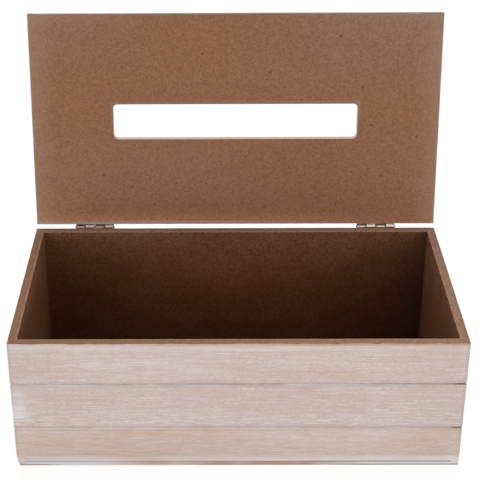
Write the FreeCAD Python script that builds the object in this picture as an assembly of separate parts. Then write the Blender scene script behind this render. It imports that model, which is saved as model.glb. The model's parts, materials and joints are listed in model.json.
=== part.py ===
import FreeCAD, Part
import math
import os

from FreeCAD import Vector

# Tissue box cover with a hinged lid, shown with the lid open.
# Millimetres. X runs left to right, Y front to back, Z up from the table.
# The origin is the centre of the base's underside.

# Body, outside
width = 260.0
depth = 138.0
body_height = 85.0
open_angle = 99.0           # degrees that the lid is turned back from closed

# Boards
wall_board = 5.2            # front, back and side panels
base_board = 3.0
lid_board = 6.0
edge_ease = 0.4             # width that is sanded off the outside edges
lid_seat_gap = 0.2          # between the rim and the closed lid

# V-grooves that run round the body and give it the look of three planks
lower_groove_height = 27.0
upper_groove_height = 57.5
groove_width = 1.7
groove_depth = 0.8

# Slot in the lid
slot_length = 156.0
slot_width = 23.0
slot_corner_radius = 3.0

# Butt hinges, screwed to the back panel's rear face and to the lid's rear edge
hinge_length = 25.0
hinge_end_inset = 25.5      # from the cover's end to the hinge's near end
knuckle_count = 4
knuckle_gap = 0.3           # between neighbouring knuckles, and round them
leaf_thickness = 0.7
leaf_edge_margin = 0.5      # from the lid's top face to the leaf's edge
leaf_corner_radius = 0.8
seam_gap = 0.2              # where the rolled sheet comes back to the leaf
barrel_clearance = 0.2      # between the barrel and the wood
pin_radius = 0.75
pin_clearance = 0.05
pin_end_length = 0.4        # how far the pin stands out of the barrel
pin_end_chamfer = 0.3

# Countersunk hinge screws
screw_head_radius = 1.5
screw_shank_radius = 0.8
screw_tip_length = 1.5
screw_tip_cover = 1.0       # wood left between the screw's tip and the panel's inner face
screw_spacing = 15.0
screw_clearance = 0.03

# Brads in the glued joints: flat wire with a chisel point
brad_width = 1.2
brad_thickness = 1.0
brad_length = 15.0
brad_tip_length = 1.0
brad_set = 0.6              # how far a brad is punched below the face
brad_clearance = 0.02
brads_per_joint = 3
corner_brad_margin = 14.0   # from the rim and from the floor to the nearest brad
base_brad_margin = 35.0     # from the ends of the cover to the nearest brad

# Places that follow from the sizes
half_width = width / 2
half_depth = depth / 2
inner_half_width = half_width - wall_board
lid_bottom = body_height + lid_seat_gap
lid_top = lid_bottom + lid_board
barrel_radius = pin_radius + pin_clearance + leaf_thickness
axis_offset = barrel_radius + barrel_clearance
hinge_axis = Vector(0, half_depth + axis_offset, body_height + lid_seat_gap / 2)
hinge_centre_x = half_width - hinge_end_inset - hinge_length / 2
along_x = Vector(1, 0, 0)
tiny = 1e-6


def block(low_x, high_x, low_y, high_y, low_z, high_z):
    corner = Vector(low_x, low_y, low_z)
    return Part.makeBox(high_x - low_x, high_y - low_y, high_z - low_z, corner)


def prism(points, run):
    outline = Part.makePolygon(points + points[:1])
    return Part.Face(outline).extrude(run)


def spread(count, low, high):
    return [low + (high - low) * i / (count - 1) for i in range(count)]


def on_outside(edge):
    centre = edge.CenterOfMass
    on_end = abs(abs(centre.x) - half_width) < tiny
    on_face = abs(abs(centre.y) - half_depth) < tiny
    return on_end or on_face or abs(centre.z) < tiny


def eased(board):
    return board.makeChamfer(edge_ease, [edge for edge in board.Edges if on_outside(edge)])


# V-grooves: one wedge along each face, longer than the face so that they mitre at the corners

def groove_wedge(face_distance, half_run, height, turn):
    slope = groove_width / 2 / groove_depth
    mouth = face_distance + groove_depth
    half_mouth = slope * 2 * groove_depth
    section = [
        Vector(-half_run, -mouth, height - half_mouth),
        Vector(-half_run, -mouth, height + half_mouth),
        Vector(-half_run, -face_distance + groove_depth, height),
    ]
    wedge = prism(section, Vector(2 * half_run, 0, 0))
    wedge.rotate(Vector(0, 0, 0), Vector(0, 0, 1), turn)
    return wedge


def groove_wedges():
    wedges = []
    for height in (lower_groove_height, upper_groove_height):
        for turn in (0, 180):
            wedges.append(groove_wedge(half_depth, half_width, height, turn))
        for turn in (90, 270):
            wedges.append(groove_wedge(half_width, half_depth, height, turn))
    return wedges


# Brads: headless, drawn along +Z from the blunt end and then set in place

def brad(grow, start, direction):
    half = brad_width / 2 + grow
    back = -brad_thickness / 2 - grow
    shoulder = brad_length - brad_tip_length
    nail = prism([
        Vector(-half, back, 0),
        Vector(half, back, 0),
        Vector(half, back, shoulder),
        Vector(0, back, brad_length + grow),
        Vector(-half, back, shoulder),
    ], Vector(0, -2 * back, 0))
    nail.Placement = FreeCAD.Placement(start, FreeCAD.Rotation(Vector(0, 0, 1), direction))
    return nail


def corner_brad_seats(side_of_depth):
    y = side_of_depth * (half_depth - wall_board / 2)
    heights = spread(brads_per_joint, corner_brad_margin, body_height - corner_brad_margin)
    return [
        (Vector(side * (half_width - brad_set), y, z), Vector(-side, 0, 0))
        for side in (-1, 1)
        for z in heights
    ]


def base_brad_seats():
    reach = half_width - base_brad_margin
    return [
        (Vector(x, side * (half_depth - wall_board / 2), brad_set), Vector(0, 0, 1))
        for side in (-1, 1)
        for x in spread(brads_per_joint, -reach, reach)
    ]


def brads(seats, grow=0.0):
    return [brad(grow, start, direction) for start, direction in seats]


# Hinges: drawn about their axis as they lie with the lid closed, the lid leaf up and the box leaf down

leaf_inner = axis_offset - leaf_thickness
leaf_root = math.sqrt((barrel_radius + knuckle_gap) ** 2 - leaf_inner ** 2)
leaf_reach = lid_top - leaf_edge_margin - hinge_axis.z
knuckle_pitch = hinge_length / knuckle_count


def rolled_knuckle(index):
    start = -hinge_length / 2 + index * knuckle_pitch + knuckle_gap / 2
    length = knuckle_pitch - knuckle_gap
    run = Vector(length, 0, 0)
    root_distance = math.hypot(axis_offset, leaf_root)
    lift = math.atan2(leaf_root, axis_offset) - math.acos(barrel_radius / root_distance)
    tab = prism([
        Vector(start, -axis_offset, leaf_root),
        Vector(start, -barrel_radius * math.cos(lift), barrel_radius * math.sin(lift)),
        Vector(start, 0, 0),
        Vector(start, -leaf_inner, leaf_root),
    ], run)
    barrel = Part.makeCylinder(barrel_radius, length, Vector(start, 0, 0), along_x)
    bore = Part.makeCylinder(pin_radius + pin_clearance, length, Vector(start, 0, 0), along_x)
    seam = block(start, start + length, 0, seam_gap, 0, barrel_radius + knuckle_gap)
    seam_turn = math.degrees(math.atan2(leaf_inner, leaf_root))
    seam.rotate(Vector(0, 0, 0), along_x, seam_turn)
    return barrel.fuse(tab).cut(bore).cut(seam).removeSplitter()


def leaf(knuckle_indices):
    half = hinge_length / 2
    plate = block(-half, half, -axis_offset, -leaf_inner, leaf_root, leaf_reach)
    corners = [
        edge for edge in plate.Edges
        if edge.BoundBox.YLength > tiny and edge.CenterOfMass.z > leaf_reach - tiny
    ]
    plate = plate.makeFillet(leaf_corner_radius, corners)
    plate = plate.fuse([rolled_knuckle(index) for index in knuckle_indices]).removeSplitter()
    return plate.cut(leaf_screws(screw_clearance))


def leaf_screw(grow, x, z):
    head_depth = screw_head_radius - screw_shank_radius
    length = leaf_thickness + wall_board - screw_tip_cover
    outline = [
        Vector(0, 0, 0),
        Vector(screw_head_radius + grow, 0, 0),
        Vector(screw_shank_radius + grow, -head_depth, 0),
        Vector(screw_shank_radius + grow, -length + screw_tip_length - grow, 0),
        Vector(0, -length - grow, 0),
    ]
    face = Part.Face(Part.makePolygon(outline + outline[:1]))
    screw = face.revolve(Vector(0, 0, 0), Vector(0, 1, 0), 360)
    screw.translate(Vector(x, -leaf_inner, z))
    return screw


def leaf_screws(grow=0.0):
    middle = (leaf_root + leaf_reach) / 2
    return [leaf_screw(grow, side * screw_spacing / 2, middle) for side in (-1, 1)]


def hinge_pin():
    length = hinge_length + 2 * pin_end_length
    pin = Part.makeCylinder(pin_radius, length, Vector(-length / 2, 0, 0), along_x)
    rims = [edge for edge in pin.Edges if isinstance(edge.Curve, Part.Circle)]
    return pin.makeChamfer(pin_end_chamfer, rims)


def at_hinge(shapes, side):
    for shape in shapes:
        shape.translate(hinge_axis + Vector(side * hinge_centre_x, 0, 0))
    return shapes


def turned_down(shapes):
    # Half a turn about Y carries the lid leaf's form to the box leaf's place
    for shape in shapes:
        shape.rotate(Vector(0, 0, 0), Vector(0, 1, 0), 180)
    return shapes


def opened(shape):
    shape.rotate(hinge_axis, along_x, -open_angle)
    return shape


lid_knuckles = range(1, knuckle_count, 2)
box_knuckles = [knuckle_count - 1 - index for index in range(0, knuckle_count, 2)]


# Boards

def body_boards():
    inner_half_depth = half_depth - wall_board
    front_seats = corner_brad_seats(-1)
    back_seats = corner_brad_seats(1)
    boards = {
        "left_side_panel": block(-half_width, -inner_half_width, -half_depth, half_depth, 0, body_height),
        "right_side_panel": block(inner_half_width, half_width, -half_depth, half_depth, 0, body_height),
        "front_panel": block(
            -inner_half_width, inner_half_width, -half_depth, -inner_half_depth, base_board, body_height),
        "back_panel": block(
            -inner_half_width, inner_half_width, inner_half_depth, half_depth, base_board, body_height),
        "base_panel": block(-inner_half_width, inner_half_width, -half_depth, half_depth, 0, base_board),
    }
    cutters = groove_wedges() + brads(front_seats + back_seats + base_brad_seats(), brad_clearance)
    for side in (-1, 1):
        cutters += at_hinge(turned_down(leaf_screws(screw_clearance)), side)
    return {name: eased(board).cut(cutters) for name, board in boards.items()}


def lid_board_with_slot():
    lid = block(-half_width, half_width, -half_depth, half_depth, lid_bottom, lid_top)
    lid = lid.makeChamfer(edge_ease, lid.Edges)
    slot = block(-slot_length / 2, slot_length / 2, -slot_width / 2, slot_width / 2, lid_bottom, lid_top)
    slot = slot.makeFillet(
        slot_corner_radius, [edge for edge in slot.Edges if edge.BoundBox.ZLength > tiny])
    screws = [screw for side in (-1, 1) for screw in at_hinge(leaf_screws(screw_clearance), side)]
    return lid.cut([slot] + screws)


def hinge_nodes(name, side):
    pin, = at_hinge([hinge_pin()], side)
    box_leaf, = at_hinge(turned_down([leaf(box_knuckles)]), side)
    lid_leaf, = at_hinge([leaf(lid_knuckles)], side)
    return {
        name + "_hinge_pin": pin,
        name + "_hinge_box_leaf": box_leaf,
        name + "_hinge_lid_leaf": opened(lid_leaf),
        name + "_hinge_box_screws": Part.makeCompound(at_hinge(turned_down(leaf_screws()), side)),
        name + "_hinge_lid_screws": opened(Part.makeCompound(at_hinge(leaf_screws(), side))),
    }


nodes = body_boards()
nodes["lid_panel"] = opened(lid_board_with_slot())
nodes.update(hinge_nodes("left", -1))
nodes.update(hinge_nodes("right", 1))
nodes["front_corner_brads"] = Part.makeCompound(brads(corner_brad_seats(-1)))
nodes["back_corner_brads"] = Part.makeCompound(brads(corner_brad_seats(1)))
nodes["base_brads"] = Part.makeCompound(brads(base_brad_seats()))

os.makedirs("parts", exist_ok=True)
for name, shape in nodes.items():
    shape.exportStep("parts/" + name + ".step")
    print(name, len(shape.Solids), shape.isValid(), round(shape.Volume, 1))
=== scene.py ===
# Tissue box cover, lid open: limed boards with a raw brown inside, and two small plated butt hinges
import json
import math

import bmesh
import bpy
import numpy as np
from mathutils import Matrix, Vector, noise

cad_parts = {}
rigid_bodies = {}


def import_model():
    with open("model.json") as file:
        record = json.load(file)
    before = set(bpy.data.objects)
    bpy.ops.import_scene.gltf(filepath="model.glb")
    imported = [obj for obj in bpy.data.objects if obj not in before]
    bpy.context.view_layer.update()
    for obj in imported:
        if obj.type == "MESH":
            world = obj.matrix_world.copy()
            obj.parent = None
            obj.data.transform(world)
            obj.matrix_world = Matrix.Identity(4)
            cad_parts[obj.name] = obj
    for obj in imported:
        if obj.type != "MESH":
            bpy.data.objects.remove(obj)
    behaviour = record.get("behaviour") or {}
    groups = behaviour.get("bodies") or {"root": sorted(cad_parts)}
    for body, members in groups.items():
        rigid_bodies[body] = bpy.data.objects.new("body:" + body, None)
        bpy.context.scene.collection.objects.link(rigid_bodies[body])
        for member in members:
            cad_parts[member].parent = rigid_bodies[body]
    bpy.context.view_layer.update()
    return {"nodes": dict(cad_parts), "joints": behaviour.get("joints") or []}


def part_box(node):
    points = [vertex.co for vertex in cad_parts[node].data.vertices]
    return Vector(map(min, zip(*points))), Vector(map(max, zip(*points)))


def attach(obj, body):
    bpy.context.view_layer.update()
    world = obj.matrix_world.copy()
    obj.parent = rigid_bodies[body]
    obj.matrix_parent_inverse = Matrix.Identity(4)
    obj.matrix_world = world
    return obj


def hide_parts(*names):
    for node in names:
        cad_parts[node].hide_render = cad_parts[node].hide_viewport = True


for old in list(bpy.data.objects):    # the start-up cube, lamp and camera
    bpy.data.objects.remove(old)

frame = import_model()
scene = bpy.context.scene
scene.view_settings.view_transform = "Standard"
mm = 0.001
hinge = frame["joints"][0]
hingePoint = Vector(hinge["pos_m"])
openAngle = math.radians(-hinge["range_deg"][0])    # how far the lid is turned back
lidTurn = (Matrix.Translation(hingePoint) @ Matrix.Rotation(-openAngle, 4, "X")
           @ Matrix.Translation(-hingePoint))    # closed lid to open lid
print("frame loaded,", len(frame["nodes"]), "nodes")


def linear(hexColour):    # sRGB hex to a linear colour
    parts = [int(hexColour[i:i + 2], 16) / 255 for i in (0, 2, 4)]
    return [p / 12.92 if p <= 0.04045 else ((p + 0.055) / 1.055) ** 2.4 for p in parts] + [1.0]


def put(tree, kind, settings=None, links=None):    # one node with its settings and links
    node = tree.nodes.new(kind)
    for key, value in {**(settings or {}), **(links or {})}.items():
        if isinstance(value, bpy.types.NodeSocket):
            tree.links.new(value, node.inputs[key])
        elif isinstance(key, str) and hasattr(node, key):
            setattr(node, key, value)
        else:
            node.inputs[key].default_value = value
    return node


def startMaterial(name, **settings):
    material = bpy.data.materials.new(name)
    material.use_nodes = True
    tree = material.node_tree
    tree.nodes.clear()
    surface = put(tree, "ShaderNodeBsdfPrincipled", settings)
    put(tree, "ShaderNodeOutputMaterial", {}, {"Surface": surface.outputs[0]})
    return material, tree, surface


def cloud(tree, place, size, low, high, most=1.0, detail=3.0, seed=0.0):
    # 0 to most, a number or a pattern, where a noise with features of this size in mm goes from low to high
    spread = put(tree, "ShaderNodeMapping", {
        "Scale": [1 / (s * mm) for s in size],
        "Location": (seed * 3.7, seed * 1.9, seed * 2.3)}, {"Vector": place})
    field = put(tree, "ShaderNodeTexNoise", {"Scale": 1.0, "Detail": detail, "Roughness": 0.55},
                {"Vector": spread.outputs[0]})
    return put(tree, "ShaderNodeMapRange", {"From Min": low, "From Max": high, "To Max": most},
               {"Value": field.outputs[0]}).outputs[0]


def specks(tree, place, size, reach, share, strength=1.0, seed=0.0):
    # small dots, one in each cell of this size in mm, in a share of the cells
    spread = put(tree, "ShaderNodeMapping", {
        "Scale": [1 / (s * mm) for s in size],
        "Location": (seed * 2.1, seed * 4.3, seed * 1.7)}, {"Vector": place})
    cells = put(tree, "ShaderNodeTexVoronoi", {"Scale": 1.0}, {"Vector": spread.outputs[0]})
    dot = put(tree, "ShaderNodeMapRange", {"From Min": reach, "From Max": reach * 0.4, "To Max": strength},
              {"Value": cells.outputs["Distance"]})
    chosen = put(tree, "ShaderNodeMath", {"operation": "LESS_THAN", 1: share}, {0: cells.outputs["Color"]})
    return put(tree, "ShaderNodeMath", {"operation": "MULTIPLY"},
               {0: dot.outputs[0], 1: chosen.outputs[0]}).outputs[0]


def zone(tree, limits, most=1.0):
    # most, a number or a pattern, where each value has gone from its first limit in mm to its second
    for value, start, full in limits:
        limit = {"interpolation_type": "SMOOTHSTEP", "From Min": start * mm, "From Max": full * mm}
        most = put(tree, "ShaderNodeMapRange", limit, {"Value": value, "To Max": most}).outputs[0]
    return most


def coats(tree, base, layers):    # one colour over another, each by its own factor
    for colour, factor in layers:
        mix = put(tree, "ShaderNodeMix", {"data_type": "RGBA"}, {0: factor})
        for socket, source in ((6, base), (7, colour)):
            if isinstance(source, str):
                mix.inputs[socket].default_value = linear(source)
            else:
                tree.links.new(source, mix.inputs[socket])
        base = mix.outputs[2]
    return base


# Camera, from the lines of the photograph, a crop whose optical centre lies up and left of its middle
cameraSet = {"place": (-10.97, -669.84, 478.45), "lens": 95.84, "sensor": 36, "near": 10,    # mm
             "yaw": -0.376, "pitch": 27.39, "roll": -0.329,    # degrees
             "shift": (0.0605, -0.0551)}    # of the frame's width


def addCamera(s):
    data = bpy.data.cameras.new("camera")
    data.lens, data.sensor_width = s["lens"], s["sensor"]
    data.shift_x, data.shift_y = s["shift"]
    data.clip_start = s["near"] * mm
    camera = bpy.data.objects.new("camera", data)
    turn = (Matrix.Rotation(math.radians(-s["yaw"]), 4, "Z")
            @ Matrix.Rotation(math.radians(90 - s["pitch"]), 4, "X")
            @ Matrix.Rotation(math.radians(s["roll"]), 4, "Z"))
    camera.matrix_world = Matrix.Translation(Vector(s["place"]) * mm) @ turn
    scene.collection.objects.link(camera)
    scene.camera = camera


addCamera(cameraSet)
print("camera set")

# Limed fibreboard: a white wash brushed along the board over an open grain, so that warm patches,
# thin chalky dashes that gather in drifts and a few dark pores all run level; dull
limeLook = {
    "body": "cebcb4", "warm": "c9ab95", "chalkAndLight": "e4e0e2", "cream": "e6cfbd", "poreAndShade": "a5948c",
    "dirtAndShade": "8c7c74", "kerf": "57473f",
    # mm along the grain and across it
    "patch": (60, 12), "drift": (38, 7), "dash": (15, 0.4), "fleck": (32, 0.38), "pores": (12, 0.4),
    "breaks": (2.4, 0.8), "grain": (0.9, 0.45), "streak": (26, 0.6),
}
# Raw medium-density fibreboard: pressed brown fibre, sanded dull, with dark bark specks and a few pale fibres
rawLook = {
    "lid": "9c6d51", "lidDark": "6d4630", "inside": "714324", "insideDark": "432611", "rimLeft": "886246",
    "rimRight": "98755f", "rimDark": "6b4936", "pale": "b08d76", "dust": "b29684", "bloom": "937c6a",
    "paintedBounceLight": "a55c37", "splash": "ac8a68", "edgeTone": "66544a", "sanded": "b67f5e", "shadowBrown": "150a05",
    "mottle": 26, "fibre": 1.25, "speck": 2.6, "bark": 11,    # mm
}


def limeCoat(tree, place, s, across):
    # across: 1 where the grain is fine in Y as well as in Z, as on a lying board
    def field(name, low, high, most, detail, seed):
        long, up = s[name]
        return cloud(tree, place, (long, up if across else long, up), low, high, most, detail, seed)
    warm = field("patch", 0.42, 0.66, 0.45, 3, 0)
    drift = field("drift", 0.36, 0.66, 0.4, 3, 1)
    dash = field("dash", 0.53, 0.62, drift, 1, 3)
    breaks = field("breaks", 0.38, 0.6, 0.54, 1, 33)    # the brush skips, so its lines are short and level
    fleck = field("fleck", 0.46, 0.68, breaks, 1, 4)
    grain = field("grain", 0.36, 0.64, 0.4, 1, 16)
    streak = field("streak", 0.36, 0.64, 0.08, 2, 31)
    pores = field("pores", 0.42, 0.34, 0.36, 1, 2)
    colour = coats(tree, s["body"], [
        (s["warm"], warm), (s["poreAndShade"], grain), (s["poreAndShade"], streak), (s["chalkAndLight"], dash), (s["chalkAndLight"], fleck),
        (s["poreAndShade"], pores)])
    height = put(tree, "ShaderNodeMath", {"operation": "SUBTRACT"}, {0: dash, 1: pores}).outputs[0]
    return colour, height


def rawFibre(tree, place, base, dark, s, mottled, fibrous):
    mottle = cloud(tree, place, [s["mottle"]] * 3, 0.4, 0.7, mottled, 3, 4)
    fibre = cloud(tree, place, [s["fibre"]] * 3, 0.66, 0.33, fibrous, 4, 5)
    dots = specks(tree, place, [s["speck"]] * 3, 0.2, 0.34, 0.75, 6)
    bark = specks(tree, place, [s["bark"]] * 3, 0.1, 0.5, 0.95, 17)
    hairs = specks(tree, place, [s["speck"] * 1.3] * 3, 0.2, 0.3, 0.22, 7)
    colour = coats(tree, base, [
        (s["pale"], mottle), (dark, fibre), (dark, dots), (dark, bark), (s["pale"], hairs)])
    return colour, fibre


def insetFromOutside(tree, place, half):
    # how far a point lies outside the cover's plan, below 0 within it, and the same for its upright corners,
    # then its axes, and its distance from the middle in X
    axes = put(tree, "ShaderNodeSeparateXYZ", {}, {0: place}).outputs
    size = put(tree, "ShaderNodeSeparateXYZ", {}, {0: put(
        tree, "ShaderNodeVectorMath", {"operation": "ABSOLUTE"}, {0: place}).outputs[0]}).outputs
    beyond = [put(tree, "ShaderNodeMath", {"operation": "SUBTRACT", 1: half[a] * mm}, {0: size[a]}).outputs[0]
              for a in (0, 1)]
    inset, corner = (put(tree, "ShaderNodeMath", {"operation": way}, {0: beyond[0], 1: beyond[1]}).outputs[0]
                     for way in ("MAXIMUM", "MINIMUM"))
    return inset, corner, axes, size[0]


def finishBoard(tree, surface, colour, lime, limeHeight, rawHeight):
    rough = put(tree, "ShaderNodeMapRange", {"To Min": 0.86, "To Max": 0.7}, {"Value": lime})
    height = put(tree, "ShaderNodeMix", {"data_type": "FLOAT"}, {0: lime, 2: rawHeight, 3: limeHeight})
    bump = put(tree, "ShaderNodeBump", {"Strength": 0.35, "Distance": 0.12 * mm},
               {"Height": height.outputs[0]})
    tree.links.new(colour, surface.inputs["Base Color"])
    tree.links.new(rough.outputs[0], surface.inputs["Roughness"])
    tree.links.new(bump.outputs[0], surface.inputs["Normal"])


bodyPaint = {"half": (130, 69), "rim": 85.0, "grooves": (27.0, 57.5), "grooveDepth": 0.8, "joint": 124.8,
             "baseTop": 3.0, "edge": "b89981"}    # mm, and the rubbed lip's colour


def limedBodyBoard(s):
    material, tree, surface = startMaterial("limed fibreboard", **{"Specular IOR Level": 0.3})
    place = put(tree, "ShaderNodeTexCoord").outputs["Object"]
    inset, corner, axes, fromMiddle = insetFromOutside(tree, place, s["half"])
    across, depth, height = axes
    rim, joint, base, deep = s["rim"], s["joint"], s["baseTop"], s["grooveDepth"]
    low, high = s["grooves"]

    def patchy(long, up, start, full, most, seed):    # uneven along the board
        return cloud(tree, place, (long, long, up), start, full, most, 3, seed)

    # where the wash is: the outer faces and the grooves, and a little over the rim's edge
    wander = put(tree, "ShaderNodeMath", {"operation": "ADD"},
                 {0: inset, 1: patchy(9, 9, 0.3, 0.7, 0.5 * mm, 8)})
    onFaces = zone(tree, [(inset, -deep - 0.5, -deep - 0.3), (height, rim - 0.1, rim - 0.4)])
    overEdge = zone(tree, [(wander.outputs[0], -0.1, 0.3)])
    lime = put(tree, "ShaderNodeMath", {"operation": "MAXIMUM"}, {0: onFaces, 1: overEdge}).outputs[0]
    lime = zone(tree, [(height, 0.05, 0.35)], lime)
    limeColour, limeHeight = limeCoat(tree, place, limeLook, 0)

    # the wash: thicker along the planks' edges, uneven on the lowest plank and thin at the corners
    lowest = (height, low, low - 1)
    thin = zone(tree, [lowest, (across, 40, -60)], patchy(50, 9, 0.25, 0.6, 0.64, 18))
    thinRight = zone(tree, [lowest, (across, 75, 115)], 0.35)
    thick = zone(tree, [lowest, (across, -50, 40), (across, 120, 80)], 0.22)
    brushed = zone(tree, [lowest, (height, 6, 9)], patchy(9, 0.42, 0.44, 0.64, 0.28, 35))
    scraped = zone(tree, [lowest, (height, 6, 9)], patchy(7, 0.42, 0.46, 0.66, 0.3, 36))
    cool = zone(tree, [(height, high + 3, high + 8), (across, -105, -70), (across, 5, -30)],
                patchy(14, 5, 0.35, 0.65, 0.2, 37))
    topBand = zone(tree, [(height, 77, 82)], patchy(50, 3, 0.38, 0.68, 0.32, 19))
    footBand = zone(tree, [(height, 8, 5), (across, -190, -60)], patchy(80, 5, 0.25, 0.55, 0.7, 20))
    atCorner = zone(tree, [(corner, -2.6, -0.8)], patchy(20, 14, 0.1, 0.6, 0.42, 14))
    pooled = zone(tree, [(across, -118, -126), (depth, -44, -64), (height, 28, 36), (height, 58, 44)],
                  patchy(16, 1.4, 0.3, 0.6, 0.6, 30))
    dashes = zone(tree, [(height, low + 1, low + 3), (height, low + 15, low + 8)],
                  patchy(9, 0.45, 0.5, 0.64, 0.6, 34))
    atEnds = zone(tree, [(fromMiddle, 80, 125), (height, low, low + 2)], 0.1)
    layers = [(limeLook["warm"], thin), (limeLook["warm"], thinRight), (limeLook["cream"], thick)]
    layers += [(limeLook["poreAndShade"], share) for share in (brushed, atCorner, atEnds)]
    layers += [(limeLook["chalkAndLight"], share) for share in (cool, scraped, dashes, topBand, footBand, pooled)]
    # grooves: the wash is thin beside them and in them, where painted shade is added, with a broken line of
    # soiling and painted shade at the bottom
    for groove, seed in ((low, 21), (high, 22)):
        beside = zone(tree, [(height, groove - 2.6, groove - 1.4), (height, groove + 2.8, groove + 1.6)],
                      patchy(26, 3, 0.3, 0.6, 0.22, seed))
        layers.append((limeLook["poreAndShade"], beside))
    inGroove = [(inset, -0.08, -0.3), (inset, -deep - 0.3, -deep - 0.1)]
    layers.append((limeLook["poreAndShade"], zone(tree, inGroove, patchy(14, 5, 0.25, 0.65, 0.18, 23))))
    # darkened on the upper slope and paler on the lower one, less towards the right end: soiling and wash,
    # and also painted shade on the slope that faces down and painted light on the slope that faces up
    notRight = (across, 124, 90)
    for groove, dark, pale, seed in ((low, 0.3, 0.9, 24), (high, 0.46, 0.8, 32)):
        upper = [(height, groove - 0.3, groove + 0.05), (inset, -0.12, -0.35)]
        lower = [(height, groove - 0.2, groove - 0.5), (height, groove - 1.4, groove - 1.0), notRight]
        caught = [(height, groove - 1.2, groove - 0.6), notRight]
        layers += [
            (limeLook["dirtAndShade"], zone(tree, inGroove + upper, patchy(7, 5, 0.3, 0.62, dark, seed))),
            (limeLook["chalkAndLight"], zone(tree, inGroove + lower, patchy(30, 5, 0.25, 0.6, pale, seed + 3))),
            (limeLook["chalkAndLight"], zone(tree, inGroove + caught, patchy(11, 5, 0.48, 0.64, 0.22, seed + 12)))]
    stain = zone(tree, inGroove + [(across, 62, 84), (height, low + 5, high - 5)], 0.18)
    kerfEnd = zone(tree, [(inset, -0.12, -0.5), (across, joint - 4, joint + 2)], 0.7)
    layers += [(limeLook["dirtAndShade"], stain), (limeLook["kerf"], kerfEnd)]
    # foot: a dark joint over the base, whose edge is rubbed in the middle and white at its ends
    between = (fromMiddle, joint + 0.2, joint - 0.2)    # the side boards
    onBase = [(height, base + 0.2, base - 0.2), between]
    overBase = [(height, base - 0.85, base - 0.45), (height, base + 0.35, base - 0.05), between]
    fresh = zone(tree, onBase + [(fromMiddle, 20, 85)], 0.7)
    rubbed = zone(tree, onBase + [(fromMiddle, 88, 40)], patchy(60, 12, 0.32, 0.55, 0.85, 10))
    glueLine = zone(tree, overBase, patchy(30, 30, 0.0, 0.5, 0.46, 25))
    glueRight = zone(tree, overBase + [(across, 20, 75)], 0.45)
    # painted shadow: a thin dark line along the very foot, in two stretches, where the cover meets the floor
    paintedFootShadows = [zone(tree, [(height, 1.1, 0.6), (across, *ends)], 1.0) for ends in ((-100, -116), (50, 75))]
    layers += [(limeLook["chalkAndLight"], fresh), (rawLook["pale"], rubbed)]
    layers += [(limeLook["dirtAndShade"], share) for share in (glueLine, glueRight, *paintedFootShadows)]
    # the upper lip rubbed through, most to the right
    edgeTone = zone(tree, [(height, rim - 2.1, rim - 1.0), (across, -230, 125)], patchy(24, 4, 0.1, 0.45, 1.0, 9))
    layers.append((s["edge"], edgeTone))
    limeColour = coats(tree, limeColour, layers)

    # the rim: paler to the right, at the back and at its inner edge, greyer outside
    onRim = zone(tree, [(height, rim - 0.7, rim - 0.2)])
    onBackBoard = (depth, 60, 63)
    rubbedIn = zone(tree, [(inset, -3.6, -4.8)], patchy(16, 16, 0.15, 0.5, 0.42, 28))
    greyOut = zone(tree, [(inset, -2.4, -0.8)], patchy(12, 12, 0.2, 0.6, 0.3, 29))
    atBack = zone(tree, [(depth, 50, 66), (fromMiddle, -60, 120)], 0.45)
    backIn = zone(tree, [(depth, 66.6, 65.2), onBackBoard], 0.32)
    rimColour = coats(tree, rawLook["rimLeft"], [
        (rawLook["rimRight"], zone(tree, [(across, -60, 130)])), (rawLook["pale"], atBack),
        (rawLook["rimDark"], greyOut), (rawLook["pale"], rubbedIn), (rawLook["pale"], backIn)])
    # the inside: splashes of wash below the rim, painted bounce light warming the middle, painted shade low
    # down and a painted shadow in the right back corner
    splashed = zone(tree, [(height, 58, 86)], patchy(30, 12, 0.1, 0.6, 0.14, 26))
    # painted bounce light: the walls' middle made warmer and brighter
    paintedBounceLight = zone(tree, [(fromMiddle, 100, 20), (height, 78, 50), (height, 2, 24)], 0.28)
    # painted shade: the inside darkened towards its floor
    paintedLowShade = zone(tree, [(height, 40, 6)], 0.22)
    # painted shadow: the back wall darkened at the right back corner and in a band beside it
    paintedCornerShadow = [zone(tree, [onBackBoard, (across, 98, 120), (height, 82, 58)], 0.45),
                zone(tree, [onBackBoard, (across, 113, 124.5)], 0.48)]
    rawBase = coats(tree, rawLook["inside"], [
        (rawLook["paintedBounceLight"], paintedBounceLight), (rawLook["insideDark"], paintedLowShade), (rawLook["splash"], splashed),
        *[(rawLook["shadowBrown"], share) for share in paintedCornerShadow], (rimColour, onRim)])
    rawDark = coats(tree, rawLook["insideDark"], [(rawLook["rimDark"], onRim)])
    rawColour, rawHeight = rawFibre(tree, place, rawBase, rawDark, rawLook, 0.1, 0.66)
    colour = coats(tree, rawColour, [(limeColour, lime)])
    finishBoard(tree, surface, colour, lime, limeHeight, rawHeight)
    return material


lidPaint = {"half": (130, 69), "slot": (78, 11.5), "under": 85.2, "lip": 0.35,    # mm
            "sawn": "dabcac"}    # the slot wall's tint


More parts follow.
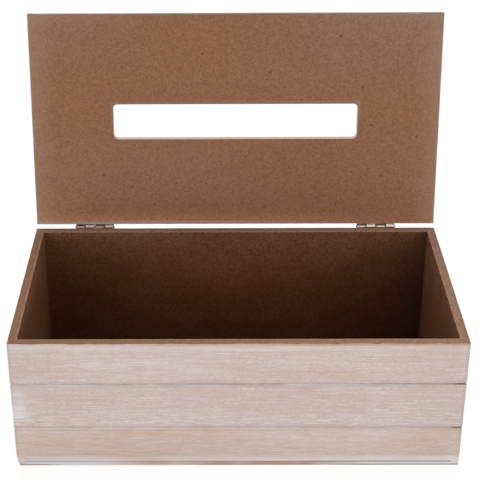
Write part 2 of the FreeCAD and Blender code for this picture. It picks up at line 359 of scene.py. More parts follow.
def limedLidBoard(s):
    material, tree, surface = startMaterial("limed and raw fibreboard", **{"Specular IOR Level": 0.3})
    raw = put(tree, "ShaderNodeTexCoord").outputs["Object"]
    back = lidTurn.inverted()    # the pattern is laid out on the closed lid
    place = put(tree, "ShaderNodeMapping", {"Location": back.to_translation(), "Rotation": back.to_euler()},
                {"Vector": raw}).outputs[0]
    inset, _, axes, fromMiddle = insetFromOutside(tree, place, s["half"])
    across, depth, height = axes
    wander = put(tree, "ShaderNodeMath", {"operation": "ADD"},
                 {0: inset, 1: cloud(tree, place, (9, 9, 9), 0.3, 0.7, 0.5 * mm, 4, 8)})
    aboveUnder = zone(tree, [(height, s["under"] + 0.25, s["under"] + 0.55)])
    overEdge = zone(tree, [(wander.outputs[0], -s["lip"], -s["lip"] + 0.5)])
    lime = put(tree, "ShaderNodeMath", {"operation": "MAXIMUM"}, {0: aboveUnder, 1: overEdge}).outputs[0]
    limeColour, limeHeight = limeCoat(tree, place, limeLook, 1)
    bloom = zone(tree, [(depth, -10, -50), (across, -20, 90)], 0.42)    # greyer towards the front corners
    bloomLeft = zone(tree, [(depth, -20, -60), (across, -30, -110)], 0.3)
    lighter = zone(tree, [(depth, 5, 20), (depth, 60, 40), (across, 50, -40)], 0.1)
    # painted shade: the lid's middle dimmed towards the hinged edge, where the box stands in front of it
    paintedLidShade = zone(tree, [(depth, 28, 52), (fromMiddle, 110, 70)], 0.07)
    sanded = [zone(tree, [(depth, 58, 68), (across, 190, -70)], 0.95),    # paler by the hinges
              zone(tree, [(depth, 40, 60), (across, -85, -115)], 0.45)]
    lidBase = coats(tree, rawLook["lid"], [
        (rawLook["bloom"], bloom), (rawLook["bloom"], bloomLeft), (rawLook["dust"], lighter),
        (rawLook["lidDark"], paintedLidShade)] + [(rawLook["sanded"], share) for share in sanded])
    rawColour, rawHeight = rawFibre(tree, place, lidBase, rawLook["lidDark"], rawLook, 0.06, 0.57)
    # lime dust near the ends and the edges, rubbed round the slot, and the front edge dimmed over its upper
    # half
    dust = cloud(tree, place, (6, 6, 6), 0.0, 0.8, 0.36, 4, 11)
    fromSlot = insetFromOutside(tree, place, s["slot"])[0]
    dusty = [zone(tree, [(fromMiddle, 112, 131)], dust),
             zone(tree, [(depth, -58, -76), (fromMiddle, 50, 110)], dust),
             zone(tree, [(depth, 65.5, 68.5), (across, 110, -60)], 0.8)]
    rubbed = [zone(tree, [(fromSlot, 2.6, 0.3), (depth, 9, -6)], 0.85),
              zone(tree, [(fromMiddle, 127.6, 129.2)], 0.85)]
    rawColour = coats(tree, rawColour, [(rawLook["dust"], share) for share in dusty])
    rawColour = coats(tree, rawColour, [(rawLook["bloom"], share) for share in rubbed])
    dimFrontEdge = zone(tree, [(depth, -68.0, -68.6), (height, s["under"] + 4.6, s["under"] + 2.8)],
                  cloud(tree, place, (30, 30, 5), 0.1, 0.4, 0.95, 3, 15))
    sawn = zone(tree, [(fromSlot, 0.25, 0.05)], 0.6)    # the slot took less of the wash
    limeColour = coats(tree, limeColour, [(rawLook["edgeTone"], dimFrontEdge), (s["sawn"], sawn)])
    colour = coats(tree, rawColour, [(limeColour, lime)])
    finishBoard(tree, surface, colour, lime, limeHeight, rawHeight)
    return material


bodyBoard = limedBodyBoard(bodyPaint)
lidBoard = limedLidBoard(lidPaint)

# Nickel-plated steel: pressed strip, barrel-polished, so it mirrors the room softly with faint rub lines
plate = {"colour": "cdbcb1", "shade": "8d7a6e", "rubLong": 9, "rubUp": 0.25}


def nickelPlate(name, s, roughness):
    material, tree, surface = startMaterial(name, Metallic=1.0)
    place = put(tree, "ShaderNodeTexCoord").outputs["Object"]
    rub = cloud(tree, place, (s["rubLong"], s["rubUp"], s["rubUp"]), 0.35, 0.7, 1, 3, 12)
    tarnish = cloud(tree, place, (3, 3, 3), 0.5, 0.75, 0.6, 3, 13)
    across = put(tree, "ShaderNodeSeparateXYZ", {}, {0: place}).outputs[0]
    paintedDullReflection = zone(tree, [(across, 40, -40)], 0.8)    # painted dull reflection: the left hinge is drawn dimmer than the right
    layers = [(s["shade"], tarnish), (s["shade"], paintedDullReflection)]
    if "pitch" in s:    # painted shade between the knuckles, and along the seam where each roll closes above or below the pin
        size = put(tree, "ShaderNodeMath", {"operation": "ABSOLUTE"}, {0: across}).outputs[0]
        along = put(tree, "ShaderNodeMath", {"operation": "SUBTRACT", 1: s["middle"] * mm}, {0: size})
        toEnd = put(tree, "ShaderNodeMath", {"operation": "PINGPONG", 1: s["pitch"] / 2 * mm},
                    {0: along.outputs[0]}).outputs[0]
        off = put(tree, "ShaderNodeVectorMath", {"operation": "SUBTRACT", 1: hingePoint}, {0: place})
        off = put(tree, "ShaderNodeVectorMath", {"operation": "MULTIPLY", 1: (0, 1, 1)},
                  {0: off.outputs[0]}).outputs[0]
        fromAxis = put(tree, "ShaderNodeVectorMath", {"operation": "LENGTH"}, {0: off}).outputs["Value"]
        rise = put(tree, "ShaderNodeSeparateXYZ", {}, {0: off}).outputs[2]
        onBarrel = (fromAxis, *s["barrel"])
        layers += [(s["gapShade"], zone(tree, [(toEnd, 0.6, 0.2), onBarrel], 0.9)),
                   (s["gapShade"], zone(tree, [(rise, *s["seam"]), onBarrel], 0.85))]
    colour = coats(tree, s["colour"], layers)
    rough = put(tree, "ShaderNodeMapRange", {"To Min": roughness, "To Max": roughness + 0.14}, {"Value": rub})
    bump = put(tree, "ShaderNodeBump", {"Strength": 0.04, "Distance": 0.02 * mm}, {"Height": rub})
    tree.links.new(colour, surface.inputs["Base Color"])
    tree.links.new(rough.outputs[0], surface.inputs["Roughness"])
    tree.links.new(bump.outputs[0], surface.inputs["Normal"])
    return material


knuckles = {**plate, "middle": 92, "pitch": 6.3, "barrel": (2.0, 1.6), "gapShade": "33211b"}    # mm
seams = {"box": (0.8, 1.1), "lid": (0.3, -0.05)}    # mm above the pin
leafNickel = {body: nickelPlate("nickel-plated steel strip, " + body + " leaf",
                                {**knuckles, "seam": seam}, 0.2) for body, seam in seams.items()}
screwNickel = nickelPlate("nickel-plated screw steel",
                          {**plate, "colour": "c8c0ba", "rubLong": 0.6, "rubUp": 0.6}, 0.26)
bradSteel = nickelPlate("bright drawn steel wire", {**plate, "colour": "9c9a98", "shade": "7d7a77"}, 0.34)
print("materials made")


def newPiece(name, mesh, material, body, slot, *nodes, crease=None):
    # crease: the angle in degrees past which an edge is shaded sharp
    piece = bpy.data.objects.new(name, mesh)
    mesh.materials.clear()
    mesh.materials.append(material)
    mesh.shade_smooth()
    if crease:
        mesh.set_sharp_from_angle(angle=math.radians(crease))
    scene.collection.objects.link(piece)
    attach(piece, body)
    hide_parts(*nodes)


def startTree(name, inputs):    # a Geometry Nodes tree with named inputs
    tree = bpy.data.node_groups.new(name, "GeometryNodeTree")
    tree.interface.new_socket("Geometry", in_out="OUTPUT", socket_type="NodeSocketGeometry")
    tree.interface.new_socket("Geometry", in_out="INPUT", socket_type="NodeSocketGeometry")
    for label, kind in inputs.items():
        tree.interface.new_socket(label, in_out="INPUT", socket_type="NodeSocket" + kind)
    return tree, put(tree, "NodeGroupInput").outputs


def endTree(tree, geometry, material):
    real = put(tree, "GeometryNodeRealizeInstances", {}, {"Geometry": geometry})
    dressed = put(tree, "GeometryNodeSetMaterial", {}, {"Geometry": real.outputs[0], "Material": material})
    put(tree, "NodeGroupOutput", {}, {0: dressed.outputs[0]})


def grown(startMesh, tree, values):    # the plain mesh that a tree makes of a starting mesh
    maker = bpy.data.objects.new("maker", startMesh)
    scene.collection.objects.link(maker)
    modifier = maker.modifiers.new("nodes", "NODES")
    modifier.node_group = tree
    for item in tree.interface.items_tree:
        if item.in_out == "INPUT" and item.name in values:
            modifier[item.identifier] = values[item.name]
    mesh = bpy.data.meshes.new_from_object(maker.evaluated_get(bpy.context.evaluated_depsgraph_get()))
    bpy.data.objects.remove(maker)
    return mesh


# Body boards: a skin of quads with close rows at the edges and grooves, then eased and grooved by nodes
boardSet = {
    "Half": (130 * mm, 69 * mm, 0), "Wall": 5.2 * mm, "Joint Reach": 1.5 * mm,
    "Ease": 0.25 * mm, "Wear": 0.35 * mm, "Wear Scale": 85.0, "Seed": 3.0,
    "Lower Groove": 27.0 * mm, "Upper Groove": 57.5 * mm, "Groove Width": 1.7 * mm, "Groove Depth": 0.8 * mm,
    "Left Corner": 1.7 * mm, "Right Corner": 0.2 * mm, "Corner Start": -56 * mm, "Corner Full": -67 * mm,
    "Corner Height": 10 * mm, "Corner Power": 2.7,
}
edgeRows = (0, 0.12, 0.3, 0.55, 0.9, 1.5, 2.4, 3.6)    # mm from an edge
grooveRows = (0, 0.08, 0.25, 0.5, 0.72, 0.85, 1.0, 1.4)    # mm from a groove's middle
boardStep = 3.4    # mm between the other rows
rowGap = 1.0    # mm that those rows keep from a groove's


def rows(low, high, extra):
    half = (high - low) / 2
    close = [o for o in edgeRows if o < half]
    count = max(2, int(2 * (half - close[-1]) / boardStep) + 1)
    inner = np.linspace(low + close[-1], high - close[-1], count)
    inner = [v for v in inner if all(abs(v - e) > rowGap for e in extra)]
    edges = [low + o for o in close] + [high - o for o in close]
    return np.clip(sorted({round(v, 4) for v in edges + inner + extra}), low, high) * mm


def boardSkin(node):
    low, high = (np.array(corner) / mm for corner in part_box(node))
    grooves = [boardSet[label] / mm for label in ("Lower Groove", "Upper Groove")]
    level = {groove + side * o for groove in grooves for o in grooveRows for side in (-1, 1)}
    level = sorted(v for v in level if low[2] < v < high[2])
    lines = [rows(low[a], high[a], level if a == 2 else []) for a in range(3)]
    counts = [len(line) for line in lines]
    index = np.arange(np.prod(counts)).reshape(counts)
    grid = np.stack(np.meshgrid(*lines, indexing="ij"), -1).reshape(-1, 3)
    quads = []
    for axis in range(3):
        for side in (0, -1):
            sheet = np.moveaxis(index, axis, 0)[side]
            quad = np.stack([sheet[:-1, :-1], sheet[1:, :-1], sheet[1:, 1:], sheet[:-1, 1:]], -1)
            quad = quad.reshape(-1, 4)
            quads.append(quad if (side == -1) != (axis == 1) else quad[:, ::-1])    # outwards
    used, faces = np.unique(np.concatenate(quads), return_inverse=True)
    mesh = bpy.data.meshes.new(node + ".skin")
    mesh.from_pydata(grid[used].tolist(), [], faces.reshape(-1, 4).tolist())
    return mesh, Vector(low) * mm, Vector(high) * mm


def easedBoardTree():
    tree, given = startTree("eased and grooved board", {
        **{label: "Float" for label in boardSet}, "Half": "Vector", "Low": "Vector", "High": "Vector",
        "Material": "Material"})
    here = put(tree, "GeometryNodeInputPosition").outputs[0]
    size = put(tree, "ShaderNodeVectorMath", {"operation": "ABSOLUTE"}, {0: here}).outputs[0]
    axes = put(tree, "ShaderNodeSeparateXYZ", {}, {0: here}).outputs
    # the glued joints stay tight: no easing in X along them
    jointAt = put(tree, "ShaderNodeVectorMath", {"operation": "SUBTRACT"},
                  {0: given["Half"], 1: given["Wall"]})
    past = put(tree, "ShaderNodeVectorMath", {"operation": "SUBTRACT"},
               {0: size, 1: jointAt.outputs[0]}).outputs[0]
    apart = put(tree, "ShaderNodeSeparateXYZ", {}, {0: past}).outputs
    short = put(tree, "ShaderNodeMath", {"operation": "MINIMUM", 1: 0.0}, {0: apart[1]}).outputs[0]
    away = put(tree, "ShaderNodeVectorMath", {"operation": "LENGTH"}, {0: put(
        tree, "ShaderNodeCombineXYZ", {}, {0: apart[0], 1: short}).outputs[0]}).outputs["Value"]
    free = put(tree, "ShaderNodeMapRange", {}, {"Value": away, "From Max": given["Joint Reach"]}).outputs[0]
    # easing: an even radius, more where hands and moves have rubbed it
    field = put(tree, "ShaderNodeTexNoise", {"noise_dimensions": "4D", "Detail": 3.0},
                {"Vector": here, "W": given["Seed"], "Scale": given["Wear Scale"]}).outputs[0]
    rub = put(tree, "ShaderNodeMapRange", {"From Min": 0.5, "From Max": 0.8},
              {"Value": field, "To Max": given["Wear"]})
    even = put(tree, "ShaderNodeMath", {"operation": "ADD"}, {0: given["Ease"], 1: rub.outputs[0]}).outputs[0]
    inX = put(tree, "ShaderNodeMath", {"operation": "MULTIPLY"}, {0: even, 1: free}).outputs[0]
    ease = put(tree, "ShaderNodeCombineXYZ", {}, {0: inX, 1: even, 2: even}).outputs[0]
    foot = put(tree, "ShaderNodeVectorMath", {"operation": "ADD"}, {0: given["Low"], 1: ease}).outputs[0]
    top = put(tree, "ShaderNodeVectorMath", {"operation": "SUBTRACT"}, {0: given["High"], 1: ease}).outputs[0]
    core = put(tree, "ShaderNodeVectorMath", {"operation": "MAXIMUM"}, {0: here, 1: foot}).outputs[0]
    core = put(tree, "ShaderNodeVectorMath", {"operation": "MINIMUM"}, {0: core, 1: top}).outputs[0]
    out = put(tree, "ShaderNodeVectorMath", {"operation": "SUBTRACT"}, {0: here, 1: core}).outputs[0]
    out = put(tree, "ShaderNodeVectorMath", {"operation": "DIVIDE"}, {0: out, 1: ease}).outputs[0]
    long = put(tree, "ShaderNodeVectorMath", {"operation": "LENGTH"}, {0: out}).outputs["Value"]
    long = put(tree, "ShaderNodeMath", {"operation": "MAXIMUM", 1: 1.0}, {0: long}).outputs[0]
    within = put(tree, "ShaderNodeMath", {"operation": "DIVIDE", 0: 1.0}, {1: long}).outputs[0]
    out = put(tree, "ShaderNodeVectorMath", {"operation": "SCALE"}, {0: out, "Scale": within}).outputs[0]
    rounded = put(tree, "ShaderNodeVectorMath", {"operation": "MULTIPLY_ADD"}, {0: out, 1: ease, 2: core})
    eased = put(tree, "GeometryNodeSetPosition", {},
                {"Geometry": given["Geometry"], "Position": rounded.outputs[0]}).outputs[0]
    # grooves: sunk from the outer faces, fading to nothing at the wall's inner face
    halfWidth = put(tree, "ShaderNodeMath", {"operation": "MULTIPLY", 1: 0.5},
                    {0: given["Groove Width"]}).outputs[0]
    sunk = None
    for label in ("Lower Groove", "Upper Groove"):
        gap = put(tree, "ShaderNodeMath", {"operation": "SUBTRACT"}, {0: axes[2], 1: given[label]}).outputs[0]
        gap = put(tree, "ShaderNodeMath", {"operation": "ABSOLUTE"}, {0: gap}).outputs[0]
        dip = put(tree, "ShaderNodeMapRange", {"From Max": 0.0},
                  {"Value": gap, "From Min": halfWidth, "To Max": given["Groove Depth"]}).outputs[0]
        sunk = dip if sunk is None else put(
            tree, "ShaderNodeMath", {"operation": "MAXIMUM"}, {0: sunk, 1: dip}).outputs[0]
    share = put(tree, "ShaderNodeVectorMath", {"operation": "DIVIDE"}, {0: past, 1: given["Wall"]}).outputs[0]
    share = put(tree, "ShaderNodeVectorMath", {"operation": "MAXIMUM", 1: (0, 0, 0)}, {0: share}).outputs[0]
    side = put(tree, "ShaderNodeVectorMath", {"operation": "SIGN"}, {0: here}).outputs[0]
    pull = put(tree, "ShaderNodeVectorMath", {"operation": "MULTIPLY"}, {0: share, 1: side}).outputs[0]
    inward = put(tree, "ShaderNodeVectorMath", {"operation": "MULTIPLY", 1: (-1, -1, 0)}, {0: pull})
    move = put(tree, "ShaderNodeVectorMath", {"operation": "SCALE"},
               {0: inward.outputs[0], "Scale": sunk}).outputs[0]
    grooved = put(tree, "GeometryNodeSetPosition", {}, {"Geometry": eased, "Offset": move}).outputs[0]
    # front corners: rubbed in towards the foot, and not at all at the glued joint
    onLeft = put(tree, "ShaderNodeMath", {"operation": "LESS_THAN", 1: 0.0}, {0: axes[0]}).outputs[0]
    most = put(tree, "ShaderNodeMix", {"data_type": "FLOAT"},
               {0: onLeft, 2: given["Right Corner"], 3: given["Left Corner"]}).outputs[0]
    near = put(tree, "ShaderNodeMapRange", {"interpolation_type": "SMOOTHSTEP"},
               {"Value": axes[1], "From Min": given["Corner Start"], "From Max": given["Corner Full"],
                "To Max": most})
    near = put(tree, "ShaderNodeMapRange", {},
               {"Value": apart[0], "From Max": given["Wall"], "To Max": near.outputs[0]}).outputs[0]
    down = put(tree, "ShaderNodeMapRange", {"From Max": 0.0},
               {"Value": axes[2], "From Min": given["Corner Height"]})
    down = put(tree, "ShaderNodeMath", {"operation": "POWER"}, {0: down.outputs[0], 1: given["Corner Power"]})
    knock = put(tree, "ShaderNodeMath", {"operation": "MULTIPLY"}, {0: near, 1: down.outputs[0]}).outputs[0]
    inward = put(tree, "ShaderNodeVectorMath", {"operation": "MULTIPLY", 1: (-1, 0, 0)}, {0: side})
    move = put(tree, "ShaderNodeVectorMath", {"operation": "SCALE"},
               {0: inward.outputs[0], "Scale": knock}).outputs[0]
    knocked = put(tree, "GeometryNodeSetPosition", {}, {"Geometry": grooved, "Offset": move}).outputs[0]
    endTree(tree, knocked, given["Material"])
    return tree


boardTree = easedBoardTree()
boardNodes = ("front_panel", "back_panel", "left_side_panel", "right_side_panel", "base_panel")
for number, node in enumerate(boardNodes):
    skin, low, high = boardSkin(node)
    board = grown(skin, boardTree, {**boardSet, "Low": low, "High": high, "Seed": boardSet["Seed"] + number,
                                    "Material": bodyBoard})
    newPiece(node.replace("panel", "board"), board, bodyBoard, "box", "limed_board", node, crease=46)
    print(node, "made,", len(board.polygons), "quads")

# Lid: rings up the outer edge, over the top to the slot, down its wall and back below, one closed skin
lidSet = {"half": (129.96, 68.96), "under": 85.2, "thick": 5.96, "corner": 0.25, "slotHalf": (78, 11.5),
          "slotCorner": 3.0, "ease": 0.28, "beside": 0.25, "wear": 0.8, "wearPatch": 11,    # mm
          "alongX": 72, "alongY": 38, "aroundCorner": 7, "bendSteps": 5,
          "flatRings": (0.06, 0.2, 0.4, 0.6, 0.8, 0.94)}    # share of the way from edge to slot


def outline(half, radius, s):    # the same count of points round any rounded rectangle
    corners = [(1, 1), (-1, 1), (-1, -1), (1, -1)]
    points, room = [], []    # room: how far a point can move inwards
    for number, (cx, cy) in enumerate(corners):
        middle = np.array([cx * (half[0] - radius), cy * (half[1] - radius)])
        angles = np.radians(np.linspace(90 * number, 90 * number + 90, s["aroundCorner"]))
        arc = [middle + radius * np.array([math.cos(a), math.sin(a)]) for a in angles]
        following = np.array(corners[(number + 1) % 4]) * (np.array(half) - radius)
        first = following + radius * np.array([math.cos(angles[-1]), math.sin(angles[-1])])
        count = s["alongX"] if number % 2 == 0 else s["alongY"]
        points += arc + [arc[-1] + (first - arc[-1]) * i / count for i in range(1, count)]
        room += [[radius * 0.9]] * len(arc) + [[half[1]]] * (count - 1)
    return np.array(points), np.array(room)


def lidMesh(s):
    edge, edgeRoom = outline(s["half"], s["corner"], s)
    slot, _ = outline(s["slotHalf"], s["slotCorner"], s)

    def outward(ring):
        tangent = np.roll(ring, -1, 0) - np.roll(ring, 1, 0)
        normal = np.stack([tangent[:, 1], -tangent[:, 0]], 1)
        return normal / np.linalg.norm(normal, axis=1, keepdims=True)

    edgeOut, slotOut = outward(edge), outward(slot)
    bends = np.radians(np.linspace(0, 90, s["bendSteps"]))

    def ease(ring, height, seed):    # easing radius at each point, more where it is rubbed
        rub = [noise.noise(Vector((x / s["wearPatch"], y / s["wearPatch"], height + seed))) for x, y in ring]
        return s["ease"] * (1 + s["wear"] * np.clip(np.array(rub)[:, None], -0.3, 1))

    def fromEdge(way):    # less at the corners, so that no face folds
        return edge - edgeOut * edgeRoom * np.tanh(way / edgeRoom)

    def fromSlot(way):
        return slot + slotOut * way

    def wall(ring, move, seed, ends):    # rings over one eased edge, and back over the other
        found = []
        for number, (height, up) in enumerate(ends):
            r = ease(ring, height, seed)
            arc = [(move(r - r * math.sin(a)), height + up * (r - r * math.cos(a))) for a in bends]
            over = [(move(r + s["beside"]), height + 0 * r)] + arc
            found += over if number == 0 else over[::-1]
        return found

    under, top = (0, 1), (s["thick"], -1)
    outer = wall(edge, fromEdge, 1, (under, top))
    inner = wall(slot, fromSlot, 5, (top, under))
    upper = [(outer[-1][0] + (inner[0][0] - outer[-1][0]) * t, outer[-1][1]) for t in s["flatRings"]]
    lower = [(inner[-1][0] + (outer[0][0] - inner[-1][0]) * t, outer[0][1]) for t in s["flatRings"]]
    rings = outer + upper + inner + lower
    points = np.concatenate([np.hstack([xy, z + s["under"]]) for xy, z in rings]) * mm
    count, around = len(rings), len(edge)
    quads = []
    for i in range(count):
        for j in range(around):
            a, b = i * around, (i + 1) % count * around
            quads.append((a + j, a + (j + 1) % around, b + (j + 1) % around, b + j))
    mesh = bpy.data.meshes.new("lid_board")
    mesh.from_pydata(points.tolist(), [], quads)
    mesh.transform(lidTurn)
    return mesh


newPiece("lid_board", lidMesh(lidSet), lidBoard, "lid", "raw_board", "lid_panel")
print("lid made")

# Hinge leaves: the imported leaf, merged, with its pressed edges broken
leafSet = {"merge": 0.002 * mm, "break": 0.09 * mm, "steps": 2, "row": 0.2 * mm, "barrel": 1.6 * mm,
           "flat": 1, "sharp": 32,    # degrees
           "play": {"left": (0.06, 0.45, 0.06), "right": (0.06, 0.06, 0.06)}}    # mm between the knuckles


def knuckleEnds(side, s):    # along the pin: where each knuckle is packed, and where it has settled
    packed = sorted({round(v.co.x, 6) for body in ("box", "lid")
                     for v in frame["nodes"][side + "_hinge_" + body + "_leaf"].data.vertices
                     if (v.co - hingePoint).yz.length < s["barrel"]})
    play = [gap * mm for gap in s["play"][side]] + [0]
    long = (packed[-1] - packed[0] - sum(play)) / len(play)
    starts = [packed[0] + i * long + sum(play[:i]) for i in range(len(play))]
    return packed, [end for start in starts for end in (start, start + long)]


def leafMesh(node, side, s):
    form = bmesh.new()
    form.from_mesh(frame["nodes"][node].data)
    bmesh.ops.remove_doubles(form, verts=form.verts, dist=s["merge"])
    packed, settled = knuckleEnds(side, s)
    for v in form.verts:
        if (v.co - hingePoint).yz.length < s["barrel"]:
            v.co.x = np.interp(v.co.x, packed, settled)
    bmesh.ops.dissolve_limit(form, angle_limit=math.radians(s["flat"]), verts=form.verts, edges=form.edges)
    sharp = [e for e in form.edges
             if len(e.link_faces) == 2 and e.calc_face_angle() > math.radians(s["sharp"])]
    bmesh.ops.bevel(form, geom=sharp, offset=s["break"], segments=s["steps"], profile=0.5, affect="EDGES",
                    clamp_overlap=True)
    for number, end in enumerate(settled):    # rows near the knuckles' ends, so that the barrels shade evenly
        row = end + (s["row"] if number % 2 == 0 else -s["row"])
        bmesh.ops.bisect_plane(form, geom=form.verts[:] + form.edges[:] + form.faces[:], plane_co=(row, 0, 0),
                               plane_no=(1, 0, 0), dist=0.001 * mm)
    mesh = bpy.data.meshes.new(node)
    form.to_mesh(mesh)
    form.free()
    return mesh


for side in ("left", "right"):
    for body in ("box", "lid"):
        node = side + "_hinge_" + body + "_leaf"
        leaf = leafMesh(node, side, leafSet)
        newPiece(side + "_" + body + "_leaf", leaf, leafNickel[body], body, "hinge_metal", node, crease=38)
print("hinge leaves made")

# Hinge screws: countersunk heads with a cross recess, two in each leaf
screwSet = {"Head Radius": 1.5 * mm, "Shank Radius": 0.8 * mm, "Head Depth": 0.7 * mm, "Length": 4.9 * mm,
            "Tip": 1.5 * mm, "Recess Length": 1.7 * mm, "Recess Width": 0.42 * mm, "Recess Depth": 0.6 * mm}
screwPlaces = {"centres": (-92, 92), "spacing": 15, "fromAxis": 3.548, "headPlane": 1.0}    # mm
screwSeeds = {"box": 7, "lid": 11}    # how each screw came to be turned
headSides, shankSides = 40, 24


def screwTree():
    tree, given = startTree("countersunk hinge screws", {
        **{label: "Float" for label in screwSet}, "Turn": "Rotation", "Seed": "Int", "Material": "Material"})
    neck, point = (
        put(tree, "ShaderNodeMath", {"operation": "MULTIPLY", 1: -1.0}, {0: given[label]}).outputs[0]
        for label in ("Head Depth", "Length"))
    straight = given["Length"]
    for label in ("Head Depth", "Tip"):
        straight = put(tree, "ShaderNodeMath", {"operation": "SUBTRACT"},
                       {0: straight, 1: given[label]}).outputs[0]
    middle = put(tree, "ShaderNodeMath", {"operation": "MULTIPLY_ADD", 1: -0.5},
                 {0: straight, 2: neck}).outputs[0]
    # head, shank and tip, each moved down to its place
    head = put(tree, "GeometryNodeMeshCone", {"Vertices": headSides},
               {"Radius Top": given["Head Radius"], "Radius Bottom": given["Shank Radius"],
                "Depth": given["Head Depth"]})
    shank = put(tree, "GeometryNodeMeshCylinder", {"Vertices": shankSides},
                {"Radius": given["Shank Radius"], "Depth": straight})
    tip = put(tree, "GeometryNodeMeshCone", {"Vertices": shankSides, "Radius Bottom": 0.02 * mm},
              {"Radius Top": given["Shank Radius"], "Depth": given["Tip"]})
    placed = []
    for part, down in ((head, neck), (shank, middle), (tip, point)):
        at = put(tree, "ShaderNodeCombineXYZ", {}, {2: down}).outputs[0]
        placed.append(put(tree, "GeometryNodeTransform", {},
                          {"Geometry": part.outputs[0], "Translation": at}).outputs[0])
    head, shank, tip = placed
    # cross recess: two bars cut from the head
    twice = put(tree, "ShaderNodeMath", {"operation": "MULTIPLY", 1: 2.0}, {0: given["Recess Depth"]})
    arm = put(tree, "ShaderNodeCombineXYZ", {},
              {0: given["Recess Length"], 1: given["Recess Width"], 2: twice.outputs[0]})
    bar = put(tree, "GeometryNodeMeshCube", {}, {"Size": arm.outputs[0]}).outputs[0]
    crossBar = put(tree, "GeometryNodeTransform", {"Rotation": (0, 0, math.pi / 2)}, {"Geometry": bar})
    for cutter in (bar, crossBar.outputs[0]):
        head = put(tree, "GeometryNodeMeshBoolean", {"operation": "DIFFERENCE"},
                   {0: head, 1: cutter}).outputs[0]
    screw = put(tree, "GeometryNodeJoinGeometry")
    for part in (head, shank, tip):
        tree.links.new(part, screw.inputs[0])
    spin = put(tree, "FunctionNodeRandomValue", {"data_type": "FLOAT"}, {"Seed": given["Seed"]})
    spin.inputs[3].default_value = 2 * math.pi
    ownTurn = put(tree, "ShaderNodeCombineXYZ", {}, {2: spin.outputs[1]}).outputs[0]
    turn = put(tree, "FunctionNodeRotateRotation", {"rotation_space": "LOCAL"},
               {0: given["Turn"], 1: ownTurn})
    screws = put(tree, "GeometryNodeInstanceOnPoints", {}, {
        "Points": given["Geometry"], "Instance": screw.outputs[0], "Rotation": turn.outputs[0]})
    endTree(tree, screws.outputs[0], given["Material"])
    return tree


screwNodes = screwTree()
for body, way, turn in (("box", -1, Matrix.Identity(4)), ("lid", 1, lidTurn)):
    seatY = hingePoint.y - screwPlaces["headPlane"] * mm
    seatZ = hingePoint.z + way * screwPlaces["fromAxis"] * mm
    seats = [Vector(((centre + side * screwPlaces["spacing"] / 2) * mm, seatY, seatZ))
             for centre in screwPlaces["centres"] for side in (-1, 1)]
    dots = bpy.data.meshes.new(body + "_screw_seats")
    dots.from_pydata([turn @ seat for seat in seats], [], [])
    facing = (turn.to_3x3() @ Matrix.Rotation(math.radians(-90), 3, "X")).to_euler()
    screws = grown(dots, screwNodes, {**screwSet, "Turn": facing, "Seed": screwSeeds[body],
                                      "Material": screwNickel})
    newPiece(body + "_hinge_screws", screws, screwNickel, body, "screw_metal",
             "left_hinge_" + body + "_screws", "right_hinge_" + body + "_screws", crease=35)
    print(body, "screws,", len(screws.polygons), "faces")

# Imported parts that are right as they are
for metal, nodes in ((leafNickel["box"], ("left_hinge_pin", "right_hinge_pin")),
                     (bradSteel, ("front_corner_brads", "back_corner_brads", "base_brads"))):
    for node in nodes:
        slots = frame["nodes"][node].data.materials
        slots.clear()
        slots.append(metal)
print("pins and brads dressed")

# Floor and light: white paper in a white room, soft boxes in front, at the sides and overhead
studio = {"reach": 4.0, "paper": "f2f0ee", "ambient": 0.06, "white": 0.92, "shade": 0.12, "aim": (0, 0, 0.09)}
lamps = {    # level: share of full white that the lamp gives at its aim; azimuth from the front, to the right
    "front left box": {"azimuth": -38, "height": 8, "away": 1.5, "size": (1.0, 0.5), "level": 0.29},
    "front right box": {"azimuth": 38, "height": 8, "away": 1.5, "size": (1.0, 0.5), "level": 0.29},
    "upper left box": {"azimuth": -42, "height": 36, "away": 1.5, "size": (0.6, 0.4), "level": 0.085},
    "upper right box": {"azimuth": 42, "height": 36, "away": 1.5, "size": (0.6, 0.4), "level": 0.085},
    "left side box": {"azimuth": -78, "height": 16, "away": 1.5, "size": (1.0, 0.8), "level": 0.16},
    "right side box": {"azimuth": 78, "height": 16, "away": 1.5, "size": (1.0, 0.8), "level": 0.16},
    "overhead box": {"azimuth": 180, "height": 65, "away": 1.5, "size": (1.2, 1.0), "level": 1.0},
}


def seenRays(tree):    # 1 for what is seen directly or mirrored
    path = put(tree, "ShaderNodeLightPath").outputs
    mirrored = put(tree, "ShaderNodeMath", {"operation": "MAXIMUM"},
                   {0: path["Is Glossy Ray"], 1: path["Is Transmission Ray"]})
    return put(tree, "ShaderNodeMath", {"operation": "MAXIMUM"},
               {0: path["Is Camera Ray"], 1: mirrored.outputs[0]}).outputs[0]


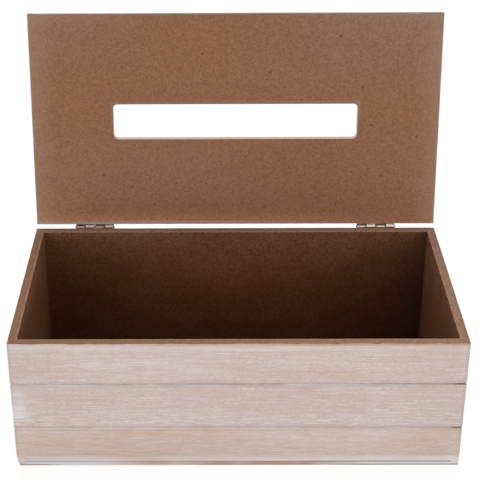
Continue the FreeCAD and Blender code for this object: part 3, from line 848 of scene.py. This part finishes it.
def addStudio(s):
    mesh = bpy.data.meshes.new("floor")
    r = s["reach"]
    mesh.from_pydata([(-r, -r, 0), (r, -r, 0), (r, r, 0), (-r, r, 0)], [], [(0, 1, 2, 3)])
    floor = bpy.data.objects.new("floor", mesh)
    scene.collection.objects.link(floor)
    # white paper: lights the cover as paper does, and is seen as white with the cover's shadow on it
    material = bpy.data.materials.new("white paper")
    material.use_nodes = True
    tree = material.node_tree
    tree.nodes.clear()
    paper = put(tree, "ShaderNodeBsdfDiffuse", {"Color": linear(s["paper"])})
    shade = put(tree, "ShaderNodeBsdfDiffuse", {"Color": (s["shade"], s["shade"], s["shade"], 1)})
    white = put(tree, "ShaderNodeEmission", {"Strength": s["white"]})
    shown = put(tree, "ShaderNodeAddShader", {}, {0: shade.outputs[0], 1: white.outputs[0]})
    mix = put(tree, "ShaderNodeMixShader", {}, {0: seenRays(tree), 1: paper.outputs[0], 2: shown.outputs[0]})
    put(tree, "ShaderNodeOutputMaterial", {}, {"Surface": mix.outputs[0]})
    mesh.materials.append(material)
    world = bpy.data.worlds.new("white room")
    scene.world = world
    world.use_nodes = True
    tree = world.node_tree
    tree.nodes.clear()
    strength = put(tree, "ShaderNodeMapRange", {"To Min": s["ambient"], "To Max": 1.0},
                   {"Value": seenRays(tree)})
    sky = put(tree, "ShaderNodeBackground", {"Color": (1, 1, 1, 1)}, {"Strength": strength.outputs[0]})
    put(tree, "ShaderNodeOutputWorld", {}, {"Surface": sky.outputs[0]})


def addLamp(name, s, aim):
    data = bpy.data.lights.new(name, "AREA")
    data.shape = "RECTANGLE"
    data.size, data.size_y = s["size"]
    data.energy = s["level"] * math.pi ** 2 * s["away"] ** 2
    lamp = bpy.data.objects.new(name, data)
    az, el = math.radians(s["azimuth"]), math.radians(s["height"])
    way = Vector((math.sin(az) * math.cos(el), -math.cos(az) * math.cos(el), math.sin(el)))
    lamp.location = Vector(aim) + way * s["away"]
    lamp.rotation_euler = way.to_track_quat("Z", "Y").to_euler()
    lamp.visible_camera = False
    scene.collection.objects.link(lamp)


addStudio(studio)
for lampName, lampSet in lamps.items():
    addLamp(lampName, lampSet, studio["aim"])
print("floor and light set")
